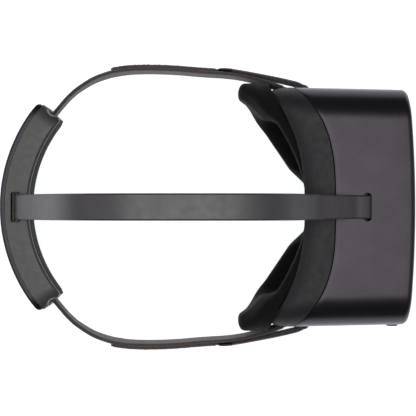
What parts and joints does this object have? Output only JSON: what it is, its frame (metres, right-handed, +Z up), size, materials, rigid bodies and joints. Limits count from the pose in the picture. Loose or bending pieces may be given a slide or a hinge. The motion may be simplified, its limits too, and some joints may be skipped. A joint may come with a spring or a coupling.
{
  "type": "vr headset",
  "caption": "Standalone VR headset: rounded front body with face cushion and side keys, curved rear battery unit, looped side straps and a top strap.",
  "frame": {"origin": "middle of the base, level with the undersides of the front body and the rear unit", "axes": "+X the way the wearer looks, +Y the wearer's left, +Z up"},
  "size_m": [0.3134, 0.2176, 0.168],
  "materials": {
    "satin_shell": "satin dark violet-grey",
    "black_gloss": "gloss black",
    "matte_frame": "matte dark grey",
    "grey_housing": "matte grey",
    "black_plastic": "matte black",
    "knit": "dark knit over foam",
    "webbing": "brown-grey woven elastic",
    "pile": "fuzzy loop pile",
    "strap_rubber": "satin grey elastomer",
    "steel": "bright steel",
    "aluminium": "plain aluminium",
    "board": "green circuit board",
    "lens": "clear polished lens",
    "display": "black display glass",
    "cell_wrap": "battery wrap",
    "lead_sheath": "black flat lead"
  },
  "bodies": {
    "headset": {"main_shell": "satin_shell", "front_cover": "black_gloss", "face_frame": "matte_frame", "lens_panel": "black_plastic", "optics_bracket": "black_plastic", "lens_barrel_left": "black_plastic", "lens_barrel_right": "black_plastic", "lens_left": "lens", "lens_right": "lens", "display_left": "display", "display_right": "display", "proximity_window": "black_gloss", "mainboard": "board", "key_board": "board", "chip_shield": "steel", "heat_spreader": "aluminium", "speaker_left": "black_plastic", "speaker_right": "black_plastic", "microphone": "aluminium", "panel_screw_1": "steel", "panel_screw_2": "steel", "panel_screw_3": "steel", "panel_screw_4": "steel", "usb_socket": "steel", "audio_jack": "black_plastic", "strap_pocket_left": "black_plastic", "strap_pocket_right": "black_plastic", "strap_bar_left": "steel", "strap_bar_right": "steel", "front_clamp": "black_plastic", "side_strap_left": "webbing", "side_strap_right": "webbing", "loop_pile_left": "pile", "loop_pile_right": "pile", "strap_tail_left": "webbing", "strap_tail_right": "webbing", "top_strap": "strap_rubber", "battery_lead": "lead_sheath"},
    "face_pad": {"face_cushion": "knit", "cushion_carrier": "black_plastic"},
    "home_key": {"home_key": "black_plastic"},
    "confirm_key": {"confirm_key": "black_plastic"},
    "back_key": {"back_key": "black_plastic"},
    "power_key": {"power_key": "black_plastic"},
    "volume_rocker": {"volume_rocker": "black_plastic"},
    "hook_tab_left": {"hook_tab_left": "black_plastic"},
    "hook_tab_right": {"hook_tab_right": "black_plastic"},
    "rear_unit": {"rear_shell": "satin_shell", "rear_housing": "grey_housing", "rear_pad": "knit", "battery_cell_left": "cell_wrap", "battery_cell_right": "cell_wrap", "protection_board": "board", "strap_boot_left": "black_plastic", "strap_boot_right": "black_plastic", "rear_clamp": "black_plastic", "rear_screw_1": "steel", "rear_screw_2": "steel", "rear_screw_3": "steel", "rear_screw_4": "steel"}
  },
  "joints": [
    {"name": "head_fit_slide", "type": "slide", "parent": "headset", "child": "rear_unit", "axis": [1, 0, 0], "range_m": [-0.012, 0.022], "deforming": ["side_strap_left", "side_strap_right", "loop_pile_left", "loop_pile_right", "top_strap", "battery_lead"]},
    {"name": "hook_tab_left_slide", "type": "slide", "parent": "headset", "child": "hook_tab_left", "axis": [0.9918, -0.128, 0], "range_m": [-0.0225, 0.0125], "deforming": ["strap_tail_left"]},
    {"name": "hook_tab_right_slide", "type": "slide", "parent": "headset", "child": "hook_tab_right", "axis": [0.9918, 0.128, 0], "range_m": [-0.0225, 0.0125], "deforming": ["strap_tail_right"]},
    {"name": "home_key_press", "type": "slide", "parent": "headset", "child": "home_key", "axis": [0, 1, 0], "range_m": [0, 0.0006], "stiffness_N_per_m": 900, "springref_m": -0.0006},
    {"name": "confirm_key_press", "type": "slide", "parent": "headset", "child": "confirm_key", "axis": [0, 1, 0], "range_m": [0, 0.0006], "stiffness_N_per_m": 900, "springref_m": -0.0006},
    {"name": "back_key_press", "type": "slide", "parent": "headset", "child": "back_key", "axis": [0, 1, 0], "range_m": [0, 0.0006], "stiffness_N_per_m": 900, "springref_m": -0.0006},
    {"name": "power_key_press", "type": "slide", "parent": "headset", "child": "power_key", "axis": [0, 0, 1], "range_m": [0, 0.0005], "stiffness_N_per_m": 900, "springref_m": -0.0006},
    {"name": "volume_rocker_tilt", "type": "hinge", "parent": "headset", "child": "volume_rocker", "pos_m": [0.12, 0.03, 0.0028], "axis": [1, 0, 0], "range_deg": [-2, 2], "stiffness_Nm_per_rad": 0.12},
    {"name": "face_pad_pull", "type": "slide", "parent": "headset", "child": "face_pad", "axis": [-1, 0, 0], "range_m": [0, 0.03]}
  ],
  "couplings": [
    {"joint": "hook_tab_left_slide", "follows": "head_fit_slide", "ratio": -1},
    {"joint": "hook_tab_right_slide", "follows": "head_fit_slide", "ratio": -1}
  ]
}
